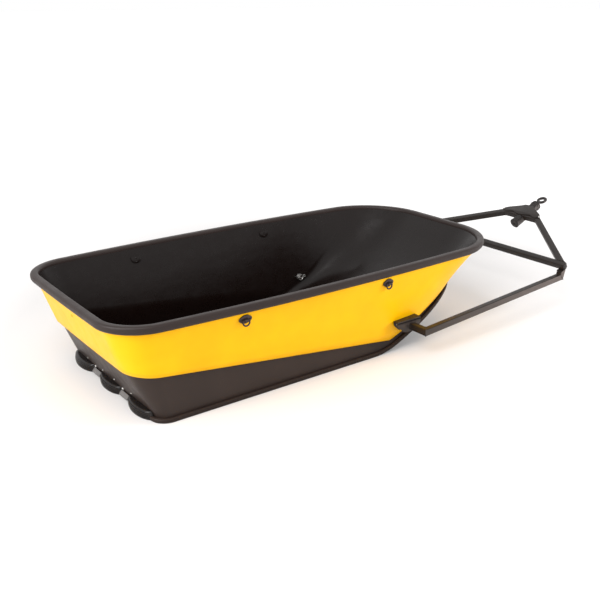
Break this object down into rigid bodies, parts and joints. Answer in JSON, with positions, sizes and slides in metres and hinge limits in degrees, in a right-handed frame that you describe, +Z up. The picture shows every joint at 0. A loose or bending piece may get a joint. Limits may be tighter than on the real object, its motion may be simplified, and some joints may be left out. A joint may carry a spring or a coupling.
{
  "type": "snowmobile sled",
  "caption": "Moulded tub sled on a skid pan with a rolled rim, lashing rings and a hinged square-tube drawbar that ends in a tow ring.",
  "frame": {"origin": "on the floor below the middle of the overall box, drawbar included", "axes": "+X forward along the drawbar, +Y left, +Z up"},
  "size_m": [2.6297, 1.0296, 0.393],
  "materials": {
    "black_plastic": "black moulded polyethylene, fine grain",
    "yellow_plastic": "yellow moulded polyethylene, soft gloss",
    "coated_steel": "dark powder coat",
    "plated_steel": "zinc plated"
  },
  "bodies": {
    "sled": {"liner": "black_plastic", "rim": "black_plastic", "skin": "yellow_plastic", "skid_pan": "black_plastic", "bracket_left": "coated_steel", "pivot_bolt_left": "plated_steel", "pivot_washer_left": "plated_steel", "lash_pad_front_left": "black_plastic", "lash_plate_front_left": "black_plastic", "lash_pad_rear_left": "black_plastic", "lash_plate_rear_left": "black_plastic", "bracket_right": "coated_steel", "pivot_bolt_right": "plated_steel", "pivot_washer_right": "plated_steel", "lash_pad_front_right": "black_plastic", "lash_plate_front_right": "black_plastic", "lash_pad_rear_right": "black_plastic", "lash_plate_rear_right": "black_plastic"},
    "drawbar": {"pivot_sleeve_left": "coated_steel", "arm_left": "coated_steel", "riser_left": "coated_steel", "front_tube_left": "coated_steel", "pivot_sleeve_right": "coated_steel", "arm_right": "coated_steel", "riser_right": "coated_steel", "front_tube_right": "coated_steel", "cross_bar": "coated_steel", "gusset": "coated_steel", "hitch_tube": "coated_steel", "hitch_cap": "coated_steel", "hitch_collar": "coated_steel"},
    "tow_eye": {"tow_rod": "coated_steel"},
    "ring_front_left": {"lash_ring_front_left": "coated_steel"},
    "ring_rear_left": {"lash_ring_rear_left": "coated_steel"},
    "ring_front_right": {"lash_ring_front_right": "coated_steel"},
    "ring_rear_right": {"lash_ring_rear_right": "coated_steel"}
  },
  "joints": [
    {"name": "drawbar_lift", "type": "hinge", "parent": "sled", "child": "drawbar", "pos_m": [-0.02286, 0, 0.112], "axis": [0, -1, 0], "range_deg": [-8, 100]},
    {"name": "tow_eye_swivel", "type": "hinge", "parent": "drawbar", "child": "tow_eye", "pos_m": [1.28929, 0, 0.36454], "axis": [0.9135, 0, 0.4067], "range_deg": [-90, 90]},
    {"name": "ring_front_left_swing", "type": "hinge", "parent": "sled", "child": "ring_front_left", "pos_m": [-0.17773, 0.44407, 0.33101], "axis": [0.9999, -0.0144, 0], "range_deg": [0, 120]},
    {"name": "ring_rear_left_swing", "type": "hinge", "parent": "sled", "child": "ring_rear_left", "pos_m": [-0.82818, 0.43717, 0.33056], "axis": [0.9994, 0.0348, 0], "range_deg": [0, 120]},
    {"name": "ring_front_right_swing", "type": "hinge", "parent": "sled", "child": "ring_front_right", "pos_m": [-0.17773, -0.44407, 0.33101], "axis": [-0.9999, -0.0144, 0], "range_deg": [0, 120]},
    {"name": "ring_rear_right_swing", "type": "hinge", "parent": "sled", "child": "ring_rear_right", "pos_m": [-0.82818, -0.43717, 0.33056], "axis": [-0.9994, 0.0348, 0], "range_deg": [0, 120]}
  ]
}
